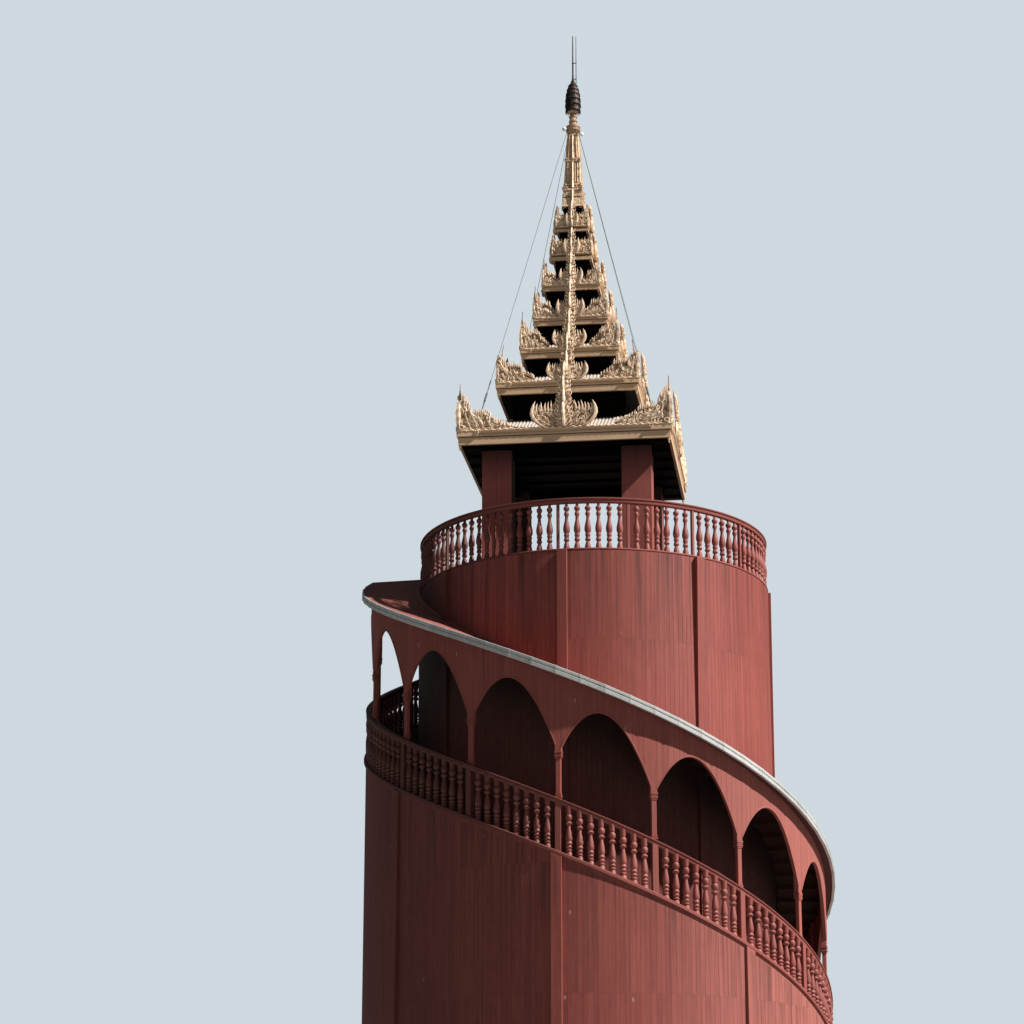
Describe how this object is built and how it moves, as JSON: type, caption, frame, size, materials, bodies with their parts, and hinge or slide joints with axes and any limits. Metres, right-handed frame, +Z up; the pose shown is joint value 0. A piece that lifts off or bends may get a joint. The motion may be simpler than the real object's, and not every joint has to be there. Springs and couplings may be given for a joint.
{
  "type": "spiral watchtower",
  "caption": "Round timber-clad watchtower with an outside spiral stair gallery, arcade and balustrades, and a square tiered gilded roof pavilion with a spire.",
  "frame": {"origin": "centre of the drum at ground level", "axes": "+Z up along the drum axis, -Y towards the front of the tower, +X to the right seen from the front"},
  "size_m": [9.6944, 9.6896, 30.3686],
  "materials": {
    "red_boards": "weathered red-brown paint on upright boards",
    "red_joinery": "red-brown paint, satin, on turned and planed timber",
    "red_piers": "red-brown paint on boxed timber piers",
    "deck_timber": "worn dark timber",
    "roof_sheet": "dull red-brown painted sheet",
    "gutter_metal": "pale grey folded gutter",
    "gilded_work": "aged gilding, dull in the hollows",
    "roof_iron": "pale corrugated sheet",
    "dark_timber": "dark unlit timber of the roof storeys and soffits",
    "dark_iron": "darkened metal with traces of gilding",
    "steel_cable": "dull steel wire"
  },
  "bodies": {
    "root": {"drum_wall_1": "red_boards", "drum_wall_2": "red_boards", "drum_wall_3": "red_boards", "drum_wall_4": "red_boards", "platform_floor": "deck_timber", "outer_wall_1": "red_boards", "outer_wall_2": "red_boards", "outer_wall_3": "red_boards", "outer_wall_4": "red_boards", "upper_wall_1": "red_boards", "upper_wall_2": "red_boards", "stair_flight_1": "deck_timber", "stair_flight_2": "deck_timber", "stair_flight_3": "deck_timber", "stair_flight_4": "deck_timber", "stair_flight_5": "deck_timber", "stair_flight_6": "deck_timber", "top_landing": "deck_timber", "landing_end_wall": "red_boards", "gallery_balustrade_1": "red_joinery", "gallery_balustrade_2": "red_joinery", "gallery_balustrade_3": "red_joinery", "gallery_balustrade_4": "red_joinery", "gallery_balustrade_5": "red_joinery", "gallery_balustrade_6": "red_joinery", "platform_balustrade_1": "red_joinery", "platform_balustrade_2": "red_joinery", "platform_balustrade_3": "red_joinery", "platform_balustrade_4": "red_joinery", "landing_end_balustrade": "red_joinery", "gallery_arcade_1": "red_boards", "gallery_arcade_2": "red_boards", "gallery_arcade_3": "red_boards", "gallery_arcade_4": "red_boards", "gallery_arcade_5": "red_boards", "gallery_roof_1": "roof_sheet", "gallery_roof_2": "roof_sheet", "gallery_roof_3": "roof_sheet", "gallery_roof_4": "roof_sheet", "gallery_roof_5": "roof_sheet", "entrance_ceiling": "red_boards", "entrance_end_wall": "red_boards", "pavilion_pier_front_left": "red_piers", "pavilion_pier_front_right": "red_piers", "pavilion_pier_back_right": "red_piers", "pavilion_pier_back_left": "red_piers", "roof_tier_1": "gilded_work", "roof_tier_2": "gilded_work", "roof_tier_3": "gilded_work", "roof_tier_4": "gilded_work", "roof_tier_5": "gilded_work", "roof_tier_6": "gilded_work", "roof_tier_7": "gilded_work", "spire": "gilded_work", "finial": "dark_iron", "stay_cables": "steel_cable"}
  },
  "joints": []
}
